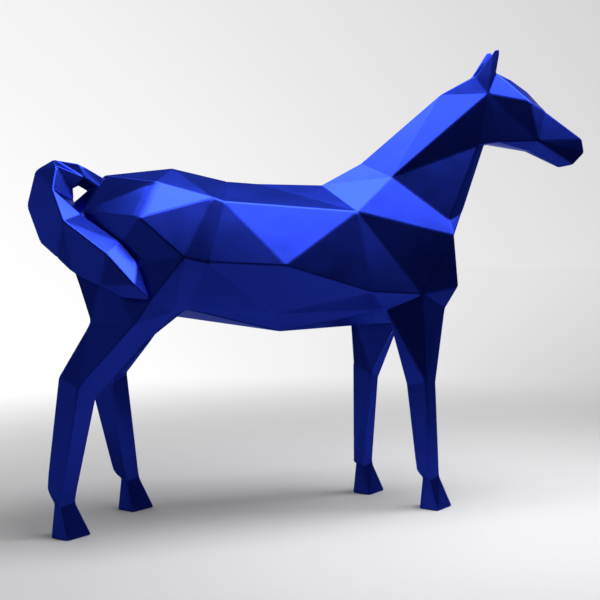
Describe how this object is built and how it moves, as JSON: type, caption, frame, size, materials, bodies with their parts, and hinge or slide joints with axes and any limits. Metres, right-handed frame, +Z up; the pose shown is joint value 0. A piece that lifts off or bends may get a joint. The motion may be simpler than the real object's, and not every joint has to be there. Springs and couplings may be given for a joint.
{
  "type": "faceted horse sculpture",
  "caption": "Life-size standing horse in flat facets, cast in one piece, with a raised tail that curls to its right thigh; stands on its hooves.",
  "frame": {"origin": "on the ground, under the middle of the figure's outline box", "axes": "+X towards the head, +Y towards the horse's left side, +Z up"},
  "size_m": [2.52, 0.574, 2.0272],
  "materials": {
    "paint": "satin metallic blue paint over cast resin"
  },
  "bodies": {
    "root": {"horse": "paint"}
  },
  "joints": []
}
